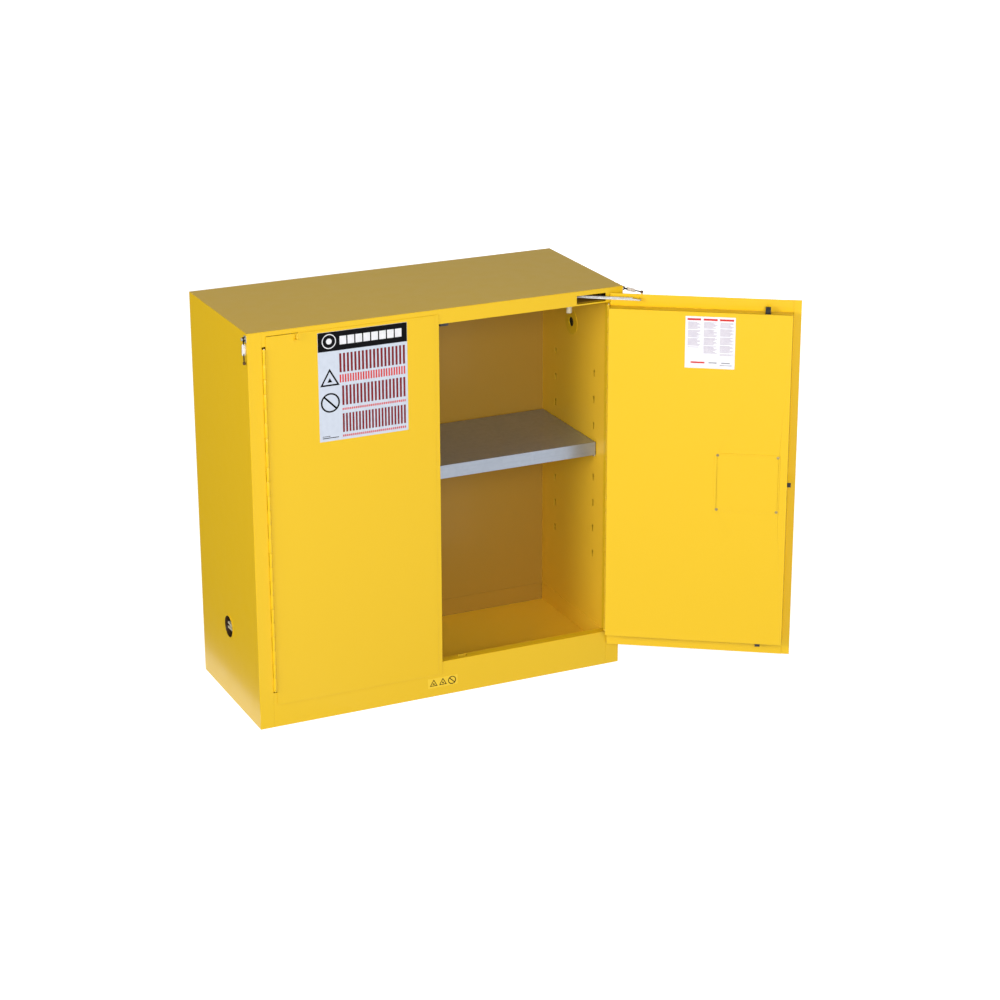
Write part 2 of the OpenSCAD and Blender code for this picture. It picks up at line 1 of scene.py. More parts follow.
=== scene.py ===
"""Looks of the two-door safety cabinet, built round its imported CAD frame.

Everything is in metres, in the frame's own axes: +X right, the doors face -Y, +Z up.
"""
import json
import math

import bmesh
import bpy
from mathutils import Matrix, Vector


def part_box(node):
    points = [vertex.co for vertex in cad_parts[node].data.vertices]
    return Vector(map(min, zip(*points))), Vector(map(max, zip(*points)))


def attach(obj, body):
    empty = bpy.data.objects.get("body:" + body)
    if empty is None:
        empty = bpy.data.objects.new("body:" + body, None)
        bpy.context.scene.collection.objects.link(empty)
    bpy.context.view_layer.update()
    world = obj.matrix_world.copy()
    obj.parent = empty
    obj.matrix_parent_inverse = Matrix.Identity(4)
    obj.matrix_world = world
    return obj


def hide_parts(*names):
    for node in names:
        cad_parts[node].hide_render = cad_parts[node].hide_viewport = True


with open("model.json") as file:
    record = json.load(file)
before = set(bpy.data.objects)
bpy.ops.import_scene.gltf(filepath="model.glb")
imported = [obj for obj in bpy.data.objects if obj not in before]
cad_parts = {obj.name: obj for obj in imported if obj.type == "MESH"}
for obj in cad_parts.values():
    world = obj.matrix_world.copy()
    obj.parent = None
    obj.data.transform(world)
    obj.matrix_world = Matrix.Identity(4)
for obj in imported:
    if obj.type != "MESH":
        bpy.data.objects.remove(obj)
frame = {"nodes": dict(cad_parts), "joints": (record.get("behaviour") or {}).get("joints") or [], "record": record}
NODES = frame["nodes"]
JOINTS = {joint["name"]: joint for joint in frame["joints"]}
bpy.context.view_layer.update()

MM = 0.001
TURN = 2 * math.pi

# The right door is drawn open. Its pieces are made on the closed door and swung out.
RIGHT_HINGE = Vector(JOINTS["right_door_hinge"]["pos_m"])
OPEN_ANGLE = math.radians(-JOINTS["right_door_hinge"]["range_deg"][0])
SWING = (Matrix.Translation(RIGHT_HINGE) @ Matrix.Rotation(OPEN_ANGLE, 4, "Z")
         @ Matrix.Translation(-RIGHT_HINGE))


# ---------------------------------------------------------------- camera, light, floor

CAMERA_PLACE = (-2.7066, -6.3862, 3.0143)
CAMERA_AZIMUTH = 25.06      # degrees from straight ahead, towards +X
CAMERA_PITCH = 19.91        # degrees below the horizon
CAMERA_ROLL = -0.15
CAMERA_LENS = 94.5


def make_camera():
    """A long lens, left of the cabinet and above it, looking down at its front."""
    azimuth, pitch, roll = (math.radians(a) for a in (CAMERA_AZIMUTH, CAMERA_PITCH, CAMERA_ROLL))
    forward = Vector((math.sin(azimuth) * math.cos(pitch),
                      math.cos(azimuth) * math.cos(pitch), -math.sin(pitch)))
    right = Vector((math.cos(azimuth), -math.sin(azimuth), 0))
    up = right.cross(forward)
    axes = Matrix((right, up, -forward)).transposed().to_4x4()
    data = bpy.data.cameras.new("camera")
    data.sensor_width = 36.0
    data.lens = CAMERA_LENS
    data.clip_end = 60.0
    camera = bpy.data.objects.new("camera", data)
    bpy.context.scene.collection.objects.link(camera)
    camera.matrix_world = (Matrix.Translation(CAMERA_PLACE) @ axes
                           @ Matrix.Rotation(roll, 4, "Z"))
    bpy.context.scene.camera = camera


def area_light(name, place, target, size, power, color=(1.0, 1.0, 1.0)):
    data = bpy.data.lights.new(name, "AREA")
    data.shape = "DISK"
    data.size = size
    data.energy = power
    data.color = color
    light = bpy.data.objects.new(name, data)
    bpy.context.scene.collection.objects.link(light)
    light.location = place
    light.rotation_euler = (Vector(target) - Vector(place)).to_track_quat("-Z", "Y").to_euler()


def make_world():
    """A studio that is bright round the sides and dimmer overhead."""
    world = bpy.data.worlds.new("studio")
    bpy.context.scene.world = world
    world.use_nodes = True
    tree = world.node_tree
    background = tree.nodes["Background"]
    place = tree.nodes.new("ShaderNodeTexCoord")
    split = tree.nodes.new("ShaderNodeSeparateXYZ")
    ramp = tree.nodes.new("ShaderNodeValToRGB")
    ramp.color_ramp.elements[0].position = 0.05
    ramp.color_ramp.elements[0].color = (0.66, 0.66, 0.67, 1)
    ramp.color_ramp.elements[1].position = 0.85
    ramp.color_ramp.elements[1].color = (0.42, 0.42, 0.43, 1)
    tree.links.new(place.outputs["Generated"], split.inputs[0])
    tree.links.new(split.outputs["Z"], ramp.inputs["Fac"])
    tree.links.new(ramp.outputs["Color"], background.inputs["Color"])
    background.inputs["Strength"].default_value = 0.72


def flat_card(name, corners, material):
    """A flat card with four corners, for the studio round the cabinet."""
    mesh = bpy.data.meshes.new(name)
    mesh.from_pydata(corners, [], [(0, 1, 2, 3)])
    mesh.materials.append(material)
    card = bpy.data.objects.new(name, mesh)
    bpy.context.scene.collection.objects.link(card)
    return card


def make_floor():
    """A white floor, which the light does not bounce off."""
    material = bpy.data.materials.new("floor")
    material.use_nodes = True
    shader = material.node_tree.nodes["Principled BSDF"]
    shader.inputs["Base Color"].default_value = (0.35, 0.35, 0.35, 1)
    shader.inputs["Roughness"].default_value = 0.9
    shader.inputs["Emission Color"].default_value = (1, 1, 1, 1)
    shader.inputs["Emission Strength"].default_value = 0.95
    half = 30.0
    corners = [(-half, -half, 0), (half, -half, 0), (half, half, 0), (-half, half, 0)]
    floor = flat_card("floor", corners, material)
    floor.visible_diffuse = False


def make_flag():
    """A black card left of the cabinet, seen only in reflections on its side."""
    material = bpy.data.materials.new("flag")
    material.use_nodes = True
    shader = material.node_tree.nodes["Principled BSDF"]
    shader.inputs["Base Color"].default_value = (0.01, 0.01, 0.01, 1)
    shader.inputs["Roughness"].default_value = 1.0
    shader.inputs["Specular IOR Level"].default_value = 0.0
    x, front, back, low, high = -0.60, -0.6, 1.4, 0.002, 1.3
    corners = [(x, front, low), (x, back, low), (x, back, high), (x, front, high)]
    flag = flat_card("flag", corners, material)
    flag.visible_camera = False
    flag.visible_diffuse = False
    flag.visible_shadow = False


# ---------------------------------------------------------------- material helpers

class Look:
    """One material: a principled shader with procedural maps in the frame's coordinates."""

    def __init__(self, name, **sockets):
        self.material = bpy.data.materials.new(name)
        self.material.use_nodes = True
        self.tree = self.material.node_tree
        self.shader = self.tree.nodes["Principled BSDF"]
        self.place = self.add("ShaderNodeTexCoord").outputs["Object"]
        for socket, value in sockets.items():
            self.shader.inputs[socket.replace("_", " ")].default_value = value

    def add(self, kind, **inputs):
        node = self.tree.nodes.new(kind)
        for name, value in inputs.items():
            self.plug(value, node.inputs[name])
        return node

    def plug(self, value, socket):
        if isinstance(value, bpy.types.NodeSocket):
            self.tree.links.new(value, socket)
        else:
            socket.default_value = value

    def stretched(self, scale):
        """The coordinates, multiplied axis by axis."""
        node = self.add("ShaderNodeMapping", Vector=self.place)
        node.inputs["Scale"].default_value = scale
        return node.outputs["Vector"]

    def noise(self, scale, detail=2.0, rough=0.5, place=None):
        node = self.add("ShaderNodeTexNoise", Vector=place or self.place,
                        Scale=scale, Detail=detail, Roughness=rough)
        return node.outputs["Fac"]

    def cells(self, scale, feature="F1", output="Color"):
        node = self.add("ShaderNodeTexVoronoi", Vector=self.place, Scale=scale)
        node.feature = feature
        return node.outputs[output]

    def remap(self, value, low, high, to_low=0.0, to_high=1.0):
        node = self.add("ShaderNodeMapRange")
        for name, number in (("Value", value), ("From Min", low), ("From Max", high),
                             ("To Min", to_low), ("To Max", to_high)):
            self.plug(number, node.inputs[name])
        return node.outputs["Result"]

    def math(self, operation, a, b=0.0):
        node = self.add("ShaderNodeMath")
        node.operation = operation
        self.plug(a, node.inputs[0])
        self.plug(b, node.inputs[1])
        return node.outputs[0]

    def mix(self, factor, a, b):
        node = self.add("ShaderNodeMix")
        node.data_type = "RGBA"
        self.plug(factor, node.inputs["Factor"])
        self.plug(a if isinstance(a, bpy.types.NodeSocket) else (*a, 1.0), node.inputs["A"])
        self.plug(b if isinstance(b, bpy.types.NodeSocket) else (*b, 1.0), node.inputs["B"])
        return next(o for o in node.outputs if o.type == "RGBA")

    def color(self, value):
        self.plug(value, self.shader.inputs["Base Color"])

    def roughness(self, value):
        self.plug(value, self.shader.inputs["Roughness"])

    def bump(self, height, distance, strength=1.0, under=None):
        node = self.add("ShaderNodeBump", Strength=strength, Distance=distance, Height=height)
        if under is not None:
            self.plug(under, node.inputs["Normal"])
        self.plug(node.outputs["Normal"], self.shader.inputs["Normal"])
        return node.outputs["Normal"]


def powder_coat(name, paint, shade, gloss=0.30, coat=0.06):
    """Sprayed paint: smooth and even, with fine grain and the faintest orange-peel gloss."""
    look = Look(name, IOR=1.36, Coat_Weight=coat, Coat_Roughness=0.12)
    drift = look.remap(look.noise(1.3, 1.0, 0.4), 0.3, 0.7, 0.0, 0.55)
    grain = look.remap(look.noise(1400.0, 1.0), 0.3, 0.7, 0.0, 0.10)
    look.color(look.mix(look.math("ADD", drift, grain), paint, shade))
    look.roughness(look.remap(look.noise(26.0, 2.0, 0.4), 0.3, 0.7, gloss - 0.02, gloss + 0.03))
    look.bump(look.noise(300.0, 1.0, 0.4), 0.00004, 0.35)
    return look.material


def galvanised(name, bright, dull):
    """Zinc-dipped sheet: pale crystals of slightly different brightness, with faint rub marks."""
    look = Look(name, Metallic=0.62, Coat_Weight=0.12, Coat_Roughness=0.25)
    crystal = look.remap(look.cells(95.0), 0.1, 0.9)
    rubs = look.noise(9.0, 5.0, 0.7, look.stretched((1.0, 26.0, 26.0)))
    look.color(look.mix(look.remap(look.math("ADD", look.math("MULTIPLY", crystal, 0.22), rubs),
                                   0.4, 1.1), bright, dull))
    look.roughness(look.remap(crystal, 0.0, 1.0, 0.28, 0.34))
    look.bump(rubs, 0.00005, 0.25)
    return look.material


def plated(name, bright, dull, gloss=0.28, grain=700.0, metal=1.0):
    """Bright zinc plate or bare metal: fine grain, with a few duller patches."""
    look = Look(name, Metallic=metal)
    patch = look.remap(look.noise(60.0, 4.0, 0.6), 0.35, 0.7)
    look.color(look.mix(patch, bright, dull))
    look.roughness(look.remap(look.noise(grain, 3.0), 0.3, 0.7, gloss - 0.06, gloss + 0.12))
    look.bump(look.noise(grain, 2.0), 0.00004, 0.5)
    return look.material


def dark_finish(name, tone, worn, gloss, grain, metal=0.0):
    """Black steel or moulded black plastic: a fine even texture, a little rubbed."""
    look = Look(name, Metallic=metal, Specular_IOR_Level=0.45)
    rubbed = look.remap(look.noise(45.0, 5.0, 0.65), 0.55, 0.8)
    look.color(look.mix(rubbed, tone, worn))
    look.roughness(look.remap(look.noise(grain, 2.0), 0.3, 0.7, gloss - 0.06, gloss + 0.10))
    look.bump(look.cells(grain, output="Distance"), 0.00006, 0.5)
    return look.material


def film(name, paper, tint, gloss=0.36, ior=1.3):
    """Printed sticker film: nearly plain, slightly mottled, with a soft sheen."""
    look = Look(name, IOR=ior)
    look.color(look.mix(look.remap(look.noise(70.0, 3.0), 0.35, 0.7), paper, tint))
    look.roughness(look.remap(look.noise(260.0, 2.0), 0.3, 0.7, gloss - 0.05, gloss + 0.07))
    look.bump(look.noise(55.0, 2.0), 0.00006, 0.4)
    return look.material


def sequence_bar_look():
    """The closing-sequence bar: black steel, with a cream plastic roller at its lower end."""
    low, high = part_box("coordinator_bar")
    roller_top = low.z + 18.5 * MM
    roller_x = high.x - 70 * MM
    look = Look("sequence_bar", Specular_IOR_Level=0.45)
    split = look.add("ShaderNodeSeparateXYZ", Vector=look.place)
    below = look.math("LESS_THAN", split.outputs["Z"], roller_top)
    beside = look.math("GREATER_THAN", split.outputs["X"], roller_x)
    cream = look.mix(look.noise(60.0, 3.0), (0.62, 0.55, 0.38), (0.50, 0.43, 0.28))
    black = look.mix(look.noise(90.0, 4.0), (0.020, 0.020, 0.022), (0.045, 0.045, 0.048))
    look.color(look.mix(look.math("MULTIPLY", below, beside), black, cream))
    look.roughness(look.remap(look.noise(300.0, 2.0), 0.3, 0.7, 0.32, 0.48))
    look.bump(look.noise(500.0, 2.0), 0.00005, 0.5)
    return look.material


def sump_look():
    """The leakproof floor pan: its upright rear wall has the back wall's deeper colour, which is painted shade."""
    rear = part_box("sump_pan")[1].y - 3 * MM
    look = Look("sump_coat_and_painted_shade", IOR=1.36)
    split = look.add("ShaderNodeSeparateXYZ", Vector=look.place)
    # painted shade: the pan's upright rear wall gets the deeper colour that stands for the shadow inside
    rear_painted_shade_mask = look.math("GREATER_THAN", split.outputs["Y"], rear)
    look.color(look.mix(rear_painted_shade_mask, INNER_PAINT, BACK_PAINTED_SHADE))
    look.roughness(look.remap(look.noise(26.0, 2.0, 0.4), 0.3, 0.7, 0.36, 0.41))
    look.bump(look.noise(300.0, 1.0, 0.4), 0.00004, 0.35)
    return look.material


def vent_bung_look():
    """A vent's plug: its disc down in the recess is coloured near black as painted shade, with the two raised bars
    left bright.
    """
    bar_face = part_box("vent_bung_left")[0].x + 8 * MM
    look = Look("vent_bung")
    split = look.add("ShaderNodeSeparateXYZ", Vector=look.place)
    raised = look.math("GREATER_THAN", look.math("ABSOLUTE", split.outputs["X"]), -bar_face)
    bright = look.mix(look.noise(90.0, 3.0), (0.66, 0.60, 0.42), (0.50, 0.44, 0.28))
    # painted shade: the plug's disc, sunk in its recess, is coloured near black
    dark = look.mix(look.noise(70.0, 3.0), (0.020, 0.010, 0.006), (0.045, 0.022, 0.010))
    look.color(look.mix(raised, dark, bright))
    look.roughness(look.remap(look.noise(260.0, 2.0), 0.3, 0.7, 0.34, 0.50))
    return look.material


def vent_rim_look():
    """A vent's housing: painted like the side outside, with painted shade down its bore."""
    look = Look("vent_rim", IOR=1.36)
    split = look.add("ShaderNodeSeparateXYZ", Vector=look.place)
    left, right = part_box("vent_bung_left"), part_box("vent_bung_right")
    inside = 0.0
    for low, high, limit, operation in ((*left, left[1].x + 12 * MM, "LESS_THAN"),
                                        (*right, right[0].x - 12 * MM, "GREATER_THAN")):
        middle = (low + high) / 2
        across = look.math("SUBTRACT", split.outputs["Y"], middle.y)
        above = look.math("SUBTRACT", split.outputs["Z"], middle.z)
        reach = look.math("SQRT", look.math("ADD", look.math("MULTIPLY", across, across),
                                            look.math("MULTIPLY", above, above)))
        bore = look.math("LESS_THAN", reach, (high.z - low.z) / 2 + 0.6 * MM)
        inside = look.math("ADD", inside, look.math("MULTIPLY", bore,
                                                    look.math(operation, split.outputs["X"], limit)))
    paint = look.mix(look.noise(3.0, 1.0), PAINT, PAINT_SHADE)
    # painted shade: the bore of each vent is coloured near black where shadow falls in the recess
    dark = look.mix(look.noise(70.0, 3.0), (0.030, 0.014, 0.006), (0.055, 0.026, 0.010))
    look.color(look.mix(look.math("MINIMUM", inside, 1.0), paint, dark))
    look.roughness(look.remap(look.noise(26.0, 2.0), 0.3, 0.7, 0.30, 0.36))
    look.bump(look.noise(300.0, 1.0, 0.4), 0.00004, 0.35)
    return look.material


PAINT, PAINT_SHADE = (0.79, 0.500, 0.009), (0.77, 0.480, 0.008)
YELLOW = powder_coat("yellow_powder_coat", PAINT, PAINT_SHADE)
# The second colour is painted shade, not a different paint: a deeper tone for the back wall, the ceiling and the
# sump's rear wall, standing for the shadow inside the cabinet.
INNER_PAINT, BACK_PAINTED_SHADE = (0.90, 0.550, 0.030), (0.37, 0.205, 0.022)
INNER = powder_coat("inner_powder_coat", INNER_PAINT, (0.87, 0.520, 0.028), gloss=0.38)
PAINTED_SHADE_COAT = powder_coat("back_wall_painted_shade", BACK_PAINTED_SHADE, (0.34, 0.190, 0.020), gloss=0.42)
SUMP = sump_look()
GALVANISED = galvanised("galvanised_sheet", (0.36, 0.40, 0.47), (0.29, 0.33, 0.40))
ZINC = plated("zinc_plate", (0.72, 0.72, 0.70), (0.56, 0.56, 0.54), metal=0.55)
COVER_SCREW = plated("yellow_zinc_screw", (0.40, 0.31, 0.12), (0.28, 0.21, 0.08), metal=0.5)
STEEL_PIN = plated("bright_pin", (0.70, 0.68, 0.62), (0.45, 0.42, 0.36), gloss=0.34)
FUSE_ALLOY = plated("fusible_alloy", (0.80, 0.80, 0.81), (0.62, 0.62, 0.64), gloss=0.24, grain=420.0,
                    metal=0.45)
BLACK_STEEL = dark_finish("black_steel", (0.016, 0.016, 0.018), (0.05, 0.05, 0.05), 0.36, 600.0, 0.3)
BLACK_GRIP = dark_finish("black_moulded_grip", (0.013, 0.013, 0.014), (0.03, 0.03, 0.03), 0.42, 900.0)
KNOB_BROWN = dark_finish("brown_knob", (0.10, 0.045, 0.015), (0.16, 0.08, 0.03), 0.4, 700.0)
LABEL_SILVER = film("label_silver", (0.58, 0.63, 0.72), (0.54, 0.59, 0.68))
LABEL_WHITE = film("label_white", (0.82, 0.82, 0.85), (0.76, 0.75, 0.80))
LABEL_YELLOW = film("label_clear", (0.86, 0.58, 0.035), (0.84, 0.55, 0.030))
INK_BLACK = film("ink_black", (0.004, 0.004, 0.005), (0.006, 0.006, 0.007), gloss=0.55, ior=1.12)
INK_DARK_RED = film("ink_dark_red", (0.200, 0.008, 0.014), (0.150, 0.006, 0.012), gloss=0.32)
INK_RED = film("ink_red", (0.640, 0.030, 0.022), (0.560, 0.024, 0.020), gloss=0.32)
INK_WHITE = film("ink_white", (0.78, 0.78, 0.80), (0.72, 0.72, 0.74), gloss=0.32)
INK_LILAC = film("ink_lilac", (0.47, 0.40, 0.47), (0.42, 0.36, 0.44), gloss=0.34)
INK_GREY = film("ink_grey", (0.20, 0.20, 0.23), (0.16, 0.16, 0.19), gloss=0.34)
SEQUENCE = sequence_bar_look()
VENT_BUNG_PAINTED_SHADE = vent_bung_look()
VENT_RIM = vent_rim_look()

BY_SLOT = {
    "yellow_paint": YELLOW, "inner_paint": INNER, "galvanised_steel": GALVANISED,
    "zinc_plated_steel": ZINC, "black_steel": BLACK_STEEL, "black_handle": BLACK_GRIP,
    "label_film": LABEL_WHITE, "fusible_alloy": FUSE_ALLOY, "sequence_bar": SEQUENCE,
}
BY_NODE = {"front_label": LABEL_SILVER, "base_label": LABEL_YELLOW, "hinge_pins": STEEL_PIN,
           # the back wall and the ceiling take the painted shade colour
           "liner_back": PAINTED_SHADE_COAT, "liner_ceiling": PAINTED_SHADE_COAT, "sump_pan": SUMP,
           "closer_bracket_left": YELLOW, "closer_bracket_right": YELLOW,
           # the vent screens are given black steel so the vent holes read dark: painted shade
           "vent_housings": VENT_RIM, "vent_screens": BLACK_STEEL,
           "vent_bung_left": VENT_BUNG_PAINTED_SHADE, "vent_bung_right": VENT_BUNG_PAINTED_SHADE}


EDGE_RADII = {"black_handle": 1.0 * MM, "label_film": 0.05 * MM, "galvanised_steel": 0.4 * MM,
              "yellow_paint": 0.45 * MM, "inner_paint": 0.4 * MM}
PLAIN_EDGE = 0.25 * MM
SHARP_NODES = ("liner_left", "liner_right")     # thin sheet with many slots


def dress_cad_nodes():
    """Gives every CAD node its material, and softens the edges of all but the sharp nodes."""
    slots = {part["node"]: part["material_slot"] for part in frame["record"]["subparts"]}
    for name, node in NODES.items():
        node.data.materials.clear()
        node.data.materials.append(BY_NODE.get(name, BY_SLOT[slots[name]]))
        if name not in SHARP_NODES:
            soften(node, EDGE_RADII.get(slots[name], PLAIN_EDGE))


def soften(piece, radius, segments=2):
    weld = piece.modifiers.new("weld", "WELD")
    weld.merge_threshold = 0.004 * MM
    bevel = piece.modifiers.new("soft_edges", "BEVEL")
    bevel.width = radius
    bevel.segments = segments
    bevel.limit_method = "ANGLE"
    bevel.angle_limit = math.radians(40)
    bevel.harden_normals = True


# ---------------------------------------------------------------- mesh helpers

def piece_from(name, mesh_source, material, body, place=None):
    """A new piece from a bmesh, moved by the matrix place, riding on a body."""
    bmesh.ops.recalc_face_normals(mesh_source, faces=mesh_source.faces)
    if place is not None:
        mesh_source.transform(place)
    mesh = bpy.data.meshes.new(name)
    mesh_source.to_mesh(mesh)
    mesh_source.free()
    mesh.materials.append(material)
    piece = bpy.data.objects.new(name, mesh)
    bpy.context.scene.collection.objects.link(piece)
    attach(piece, body)
    return piece


def smooth(piece, angle=35):
    """Round faces shade smoothly, and edges sharper than the angle stay crisp."""
    mesh = piece.data
    mesh.polygons.foreach_set("use_smooth", [True] * len(mesh.polygons))
    work = bmesh.new()
    work.from_mesh(mesh)
    limit = math.radians(angle)
    for edge in work.edges:
        edge.smooth = len(edge.link_faces) == 2 and edge.calc_face_angle(0.0) < limit
    work.to_mesh(mesh)
    work.free()
    return piece


def add_prism(work, outline, low, high, holes=()):
    """A flat shape of (u, v) points raised from w = low to w = high, with same-count holes."""
    rings = [outline, *holes]
    levels = []
    for w in (low, high):
        levels.append([[work.verts.new((u, v, w)) for u, v in ring] for ring in rings])
    for ring in range(len(rings)):
        count = len(rings[ring])
        for i in range(count):
            j = (i + 1) % count
            work.faces.new((levels[0][ring][i], levels[0][ring][j],
                            levels[1][ring][j], levels[1][ring][i]))
    for level in levels:
        if len(rings) == 1:
            work.faces.new(level[0])
        else:
            count = len(outline)
            for i in range(count):
                j = (i + 1) % count
                work.faces.new((level[0][i], level[0][j], level[1][j], level[1][i]))


def rectangle(u0, v0, u1, v1):
    return [(u0, v0), (u1, v0), (u1, v1), (u0, v1)]


def circle(u, v, radius, count=40):
    return [(u + radius * math.cos(TURN * i / count), v + radius * math.sin(TURN * i / count))
            for i in range(count)]


def triangle(u, v, radius):
    return [(u + radius * math.sin(TURN * i / 3), v + radius * math.cos(TURN * i / 3))
            for i in range(3)]


def add_lathe(work, profile, count=32, close_start=True, close_end=True):
    """A turned solid about the local W axis from its (radius, w) profile."""
    rings = []
    for radius, w in profile:
        if radius < 1e-7:
            rings.append([work.verts.new((0, 0, w))])
        else:
            rings.append([work.verts.new((radius * math.cos(TURN * i / count),
                                          radius * math.sin(TURN * i / count), w))
                          for i in range(count)])
    for a, b in zip(rings, rings[1:]):
        for i in range(count):
            j = (i + 1) % count
            if len(a) == 1:
                work.faces.new((a[0], b[i], b[j]))
            elif len(b) == 1:
                work.faces.new((a[i], b[0], a[j]))
            else:
                work.faces.new((a[i], b[i], b[j], a[j]))
    if close_start and len(rings[0]) > 1:
        work.faces.new(rings[0])
    if close_end and len(rings[-1]) > 1:
        work.faces.new(rings[-1])


def add_tube(work, points, radius, count=12):
    """A round wire through the points, with closed ends."""
    rings = []
    points = [Vector(point) for point in points]
    side = None
    for i, point in enumerate(points):
        ahead = points[min(i + 1, len(points) - 1)] - points[max(i - 1, 0)]
        ahead.normalize()
        if side is None:
            side = ahead.orthogonal().normalized()
        side = (side - ahead * side.dot(ahead)).normalized()
        other = ahead.cross(side)
        rings.append([work.verts.new(point + radius * (side * math.cos(TURN * k / count)
                                                       + other * math.sin(TURN * k / count)))
                      for k in range(count)])
    for a, b in zip(rings, rings[1:]):
        for i in range(count):
            j = (i + 1) % count
            work.faces.new((a[i], a[j], b[j], b[i]))
    work.faces.new(rings[0])
    work.faces.new(rings[-1])


def axes_matrix(origin, u, v, w):
    """The matrix that takes local (u, v, w) to the frame."""
    matrix = Matrix((u, v, w)).transposed().to_4x4()
    matrix.translation = origin
    return matrix


# ---------------------------------------------------------------- printed labels

PRINT = 0.12 * MM      # how far the ink stands off the film
SUNK = 0.02 * MM       # how far it reaches into it
X, Y, Z = Vector((1, 0, 0)), Vector((0, 1, 0)), Vector((0, 0, 1))


def print_on(name, shapes, place, body, material):
    """One ink layer: each shape is (outline, holes) in millimetres from the label's corner."""
    work = bmesh.new()
    for outline, holes in shapes:
        scaled = [(u * MM, v * MM) for u, v in outline]
        scaled_holes = [[(u * MM, v * MM) for u, v in hole] for hole in holes]
        add_prism(work, scaled, -SUNK, PRINT, scaled_holes)
    return piece_from(name, work, material, body, place)


def block_row(u0, u1, v0, v1, count, share):
    """A row of equal upright blocks, which stands for a line of print."""
    pitch = (u1 - u0) / (count - 1 + share)
    return [(rectangle(u0 + i * pitch, v0, u0 + (i + share) * pitch, v1), ())
            for i in range(count)]


def ring_shape(u, v, outer, inner):
    return (circle(u, v, outer), (circle(u, v, inner),))


def triangle_ring(u, v, outer, inner):
    return (triangle(u, v, outer), (triangle(u, v, inner),))


def slash(u, v, radius, width):
    """A diagonal bar across a ring, from upper left to lower right."""
    along, across = radius * math.sqrt(0.5), width * math.sqrt(0.5) / 2
    return ([(u - along - across, v + along - across), (u + along - across, v - along - across),
             (u + along + across, v - along + across), (u - along + across, v + along + across)],
            ())


def front_label_print():
    """The big label on the left door: a dark heading, rows of blocks and two plain signs."""
    low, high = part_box("front_label")
    width, height = (high.x - low.x) / MM, (high.z - low.z) / MM
    place = axes_matrix(Vector((low.x, low.y, low.z)), X, Z, -Y)
    heading = height - 53
    black = [(rectangle(0.6, heading, width - 0.6, height - 0.6), ()),
             triangle_ring(32, 168, 32, 23), (triangle(32, 166, 8), ()),
             ring_shape(32, 106, 27, 22.5), slash(32, 106, 23, 5),
             (rectangle(8, 8, 54, 10), ()), (rectangle(8, 13, 30, 14.5), ())]
    white = [ring_shape(32, heading + 27, 20, 17.6), (circle(32, heading + 27, 8), ())]
    white += block_row(62, 238, heading + 15, heading + 38, 8, 0.84)
    dark_red = block_row(60, 247, 186, 238, 18, 0.56)
    dark_red += block_row(66, 247, 95, 149, 18, 0.56)
    dark_red += block_row(66, 247, 20, 72, 20, 0.56)
    red = block_row(60, 247, 158, 180, 26, 0.56)
    red += block_row(66, 247, 81, 87, 34, 0.60)
    red += block_row(66, 247, 7, 13, 32, 0.60)
    print_on("front_label_black", black, place, "left_door", INK_BLACK)
    print_on("front_label_dark_red", dark_red, place, "left_door", INK_DARK_RED)
    print_on("front_label_red", red, place, "left_door", INK_RED)
    above = place @ Matrix.Translation((0, 0, PRINT))
    print_on("front_label_white", white, above, "left_door", INK_WHITE)


def closed_box(name):
    """Lowest and highest corner of a right-door node, as it stands on the closed door."""
    back = SWING.inverted()
    points = [back @ vertex.co for vertex in NODES[name].data.vertices]
    return (Vector([min(p[i] for p in points) for i in range(3)]),
            Vector([max(p[i] for p in points) for i in range(3)]))


def instruction_label_print():
    """The sheet inside the right door: three columns of fine lines under coloured bars."""
    low, high = closed_box("instruction_label")
    height = (high.z - low.z) / MM
    place = SWING @ axes_matrix(Vector((high.x, high.y, low.z)), -X, Z, Y)
    columns = [(5.4, 41.7, 58), (49, 87, 39), (93, 131.5, 36)]
    red = [(rectangle(u0, height - 11, u1, height - 5.5), ()) for u0, u1, last in columns]
    red += [(rectangle(16, 14, 54, 18.5), ())]
    lines = []
    for index, (u0, u1, last) in enumerate(columns):
        v = height - 17
        row = 0
        while v > last:
            if (row + index) % 9 != 8:
                short = 0.72 + 0.28 * math.sin(2.3 * row + index) ** 2
                lines.append((rectangle(u0 + 1.5, v, u0 + (u1 - u0) * short, v + 1.25), ()))
            v -= 2.6
            row += 1
    grey = [(rectangle(65, 15, 87, 17.5), ()), (rectangle(100, 15, 123, 17.5), ()),
            (rectangle(96, 9, 128, 10.5), ())]
    print_on("instruction_red", red, place, "right_door", INK_RED)
    print_on("instruction_lines", lines, place, "right_door", INK_LILAC)
    print_on("instruction_grey", grey, place, "right_door", INK_GREY)


def base_label_print():
    """Three plain signs on the base."""
    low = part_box("base_label")[0]
    place = axes_matrix(Vector((low.x, low.y, low.z)), X, Z, -Y)
    black = [triangle_ring(17, 12.5, 13.5, 9.5), (triangle(17, 12, 4), ()),
             triangle_ring(45, 12.5, 13.5, 9.5), (triangle(45, 12, 4), ()),
             ring_shape(73, 14.5, 12, 9.6), slash(73, 14.5, 10, 2.4)]
    print_on("base_label_black", black, place, "cabinet", INK_BLACK)


# ---------------------------------------------------------------- small hardware

